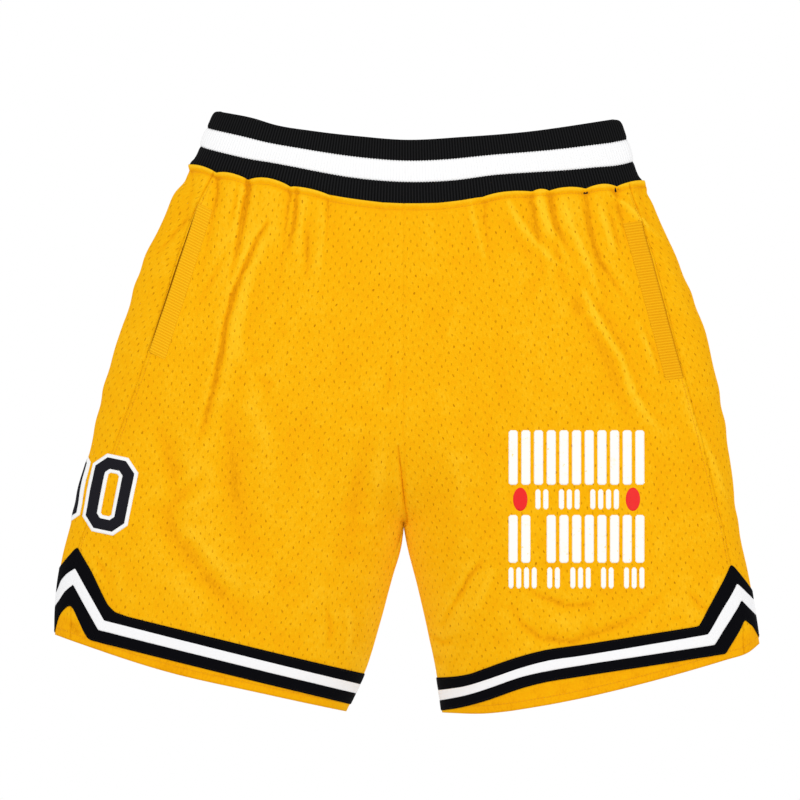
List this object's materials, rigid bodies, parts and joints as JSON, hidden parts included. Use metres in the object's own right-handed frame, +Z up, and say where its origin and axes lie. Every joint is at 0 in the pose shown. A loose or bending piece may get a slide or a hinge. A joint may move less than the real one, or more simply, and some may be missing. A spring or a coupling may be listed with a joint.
{
  "type": "boxing shorts",
  "caption": "Knee-length perforated mesh boxing shorts with a ribbed elastic waist, slanted side pockets and striped hem tape that peaks at the side seams.",
  "frame": {"origin": "in the waist opening, midway across the garment's overall width, level with the top of the waistband at the centre front", "axes": "+X towards the wearer's left, -Y towards the front, +Z up"},
  "size_m": [0.6385, 0.1262, 0.5442],
  "materials": {
    "mesh_gold": "matte",
    "rib_gold": "matte",
    "rib_black": "matte",
    "rib_white": "matte",
    "elastic": "matte",
    "tape_black": "matte",
    "tape_white": "matte",
    "twill_black": "matte",
    "twill_white": "matte",
    "print_white": "matte",
    "print_red": "matte"
  },
  "bodies": {
    "waist": {"waistband_upper_black": "rib_black", "waistband_middle_white": "rib_white", "waistband_lower_black": "rib_black", "waistband_elastic": "elastic", "waistband_rib_inner": "rib_black", "hip_panel_front_left": "mesh_gold", "hip_panel_front_right": "mesh_gold", "hip_panel_back_left": "mesh_gold", "hip_panel_back_right": "mesh_gold", "flex_panel_front_left": "mesh_gold", "flex_panel_front_right": "mesh_gold", "flex_panel_back_left": "mesh_gold", "flex_panel_back_right": "mesh_gold", "pocket_bag_left": "mesh_gold", "pocket_bag_right": "mesh_gold"},
    "leg_left": {"leg_panel_front_left": "mesh_gold", "leg_panel_back_left": "mesh_gold", "hem_facing_left": "mesh_gold", "hem_tape_upper_black_left": "tape_black", "hem_tape_middle_white_left": "tape_white", "hem_tape_lower_black_left": "tape_black", "number_backing_front": "twill_white", "number_fill_front": "twill_black", "number_backing_rear": "twill_white", "number_fill_rear": "twill_black"},
    "leg_right": {"leg_panel_front_right": "mesh_gold", "leg_panel_back_right": "mesh_gold", "hem_facing_right": "mesh_gold", "hem_tape_upper_black_right": "tape_black", "hem_tape_middle_white_right": "tape_white", "hem_tape_lower_black_right": "tape_black", "print_row_1": "print_white", "print_row_2": "print_white", "print_row_3": "print_white", "print_row_4": "print_white", "print_disc_inner": "print_red", "print_disc_outer": "print_red"},
    "welt_left": {"pocket_welt_left": "rib_gold"},
    "welt_right": {"pocket_welt_right": "rib_gold"}
  },
  "joints": [
    {"name": "leg_left_swing", "type": "hinge", "parent": "waist", "child": "leg_left", "pos_m": [-0.14, 0, -0.235], "axis": [-1, 0, 0], "range_deg": [-15, 60], "deforming": ["flex_panel_front_left", "flex_panel_back_left"]},
    {"name": "leg_right_swing", "type": "hinge", "parent": "waist", "child": "leg_right", "pos_m": [0.14, 0, -0.235], "axis": [-1, 0, 0], "range_deg": [-15, 60], "deforming": ["flex_panel_front_right", "flex_panel_back_right", "print_row_1", "print_row_2", "print_row_3", "print_disc_inner", "print_disc_outer"]},
    {"name": "pocket_welt_left_open", "type": "hinge", "parent": "waist", "child": "welt_left", "pos_m": [-0.19545, -0.0309, -0.13178], "axis": [0.2988, 0.0455, 0.9532], "range_deg": [0, 35], "stiffness_Nm_per_rad": 0.001, "springref_deg": -8.59},
    {"name": "pocket_welt_right_open", "type": "hinge", "parent": "waist", "child": "welt_right", "pos_m": [0.21449, -0.02998, -0.1463], "axis": [0.2593, -0.0609, -0.9639], "range_deg": [0, 35], "stiffness_Nm_per_rad": 0.001, "springref_deg": -8.59}
  ]
}
